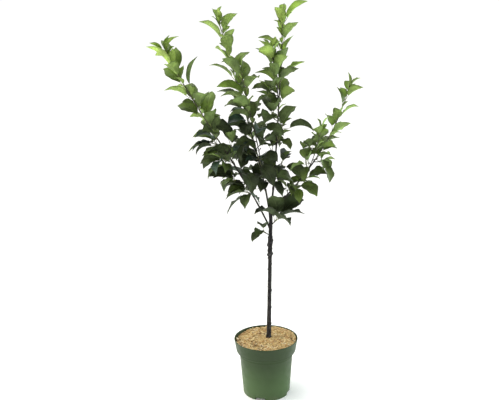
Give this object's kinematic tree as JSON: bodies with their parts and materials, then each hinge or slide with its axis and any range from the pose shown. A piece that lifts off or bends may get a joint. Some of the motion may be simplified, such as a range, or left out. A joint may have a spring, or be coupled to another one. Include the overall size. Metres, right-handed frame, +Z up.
{
  "type": "dwarf apple tree in a pot",
  "caption": "Young fan-trained dwarf apple tree with upright leafy shoots, growing in a mulched green nursery pot.",
  "frame": {"origin": "middle of the pot's flat underside, where it stands on the ground", "axes": "+Z up the trunk, -Y towards the side the fan of shoots is seen from, +X to the right from that side"},
  "size_m": [0.8103, 0.3622, 1.5679],
  "materials": {
    "pot_plastic": "satin moulded plastic",
    "potting_soil": "dark crumbly potting soil",
    "bark_mulch": "dry shredded wood",
    "bark": "smooth young bark",
    "foliage": "semi-gloss leaves"
  },
  "bodies": {
    "root": {"pot": "pot_plastic", "soil": "potting_soil", "mulch": "bark_mulch", "trunk": "bark", "bough_left": "bark", "bough_mid": "bark", "bough_right": "bark", "foliage_leader": "foliage", "foliage_mid": "foliage", "foliage_left": "foliage", "foliage_right": "foliage", "foliage_low_left": "foliage", "foliage_low_right": "foliage"}
  },
  "joints": []
}
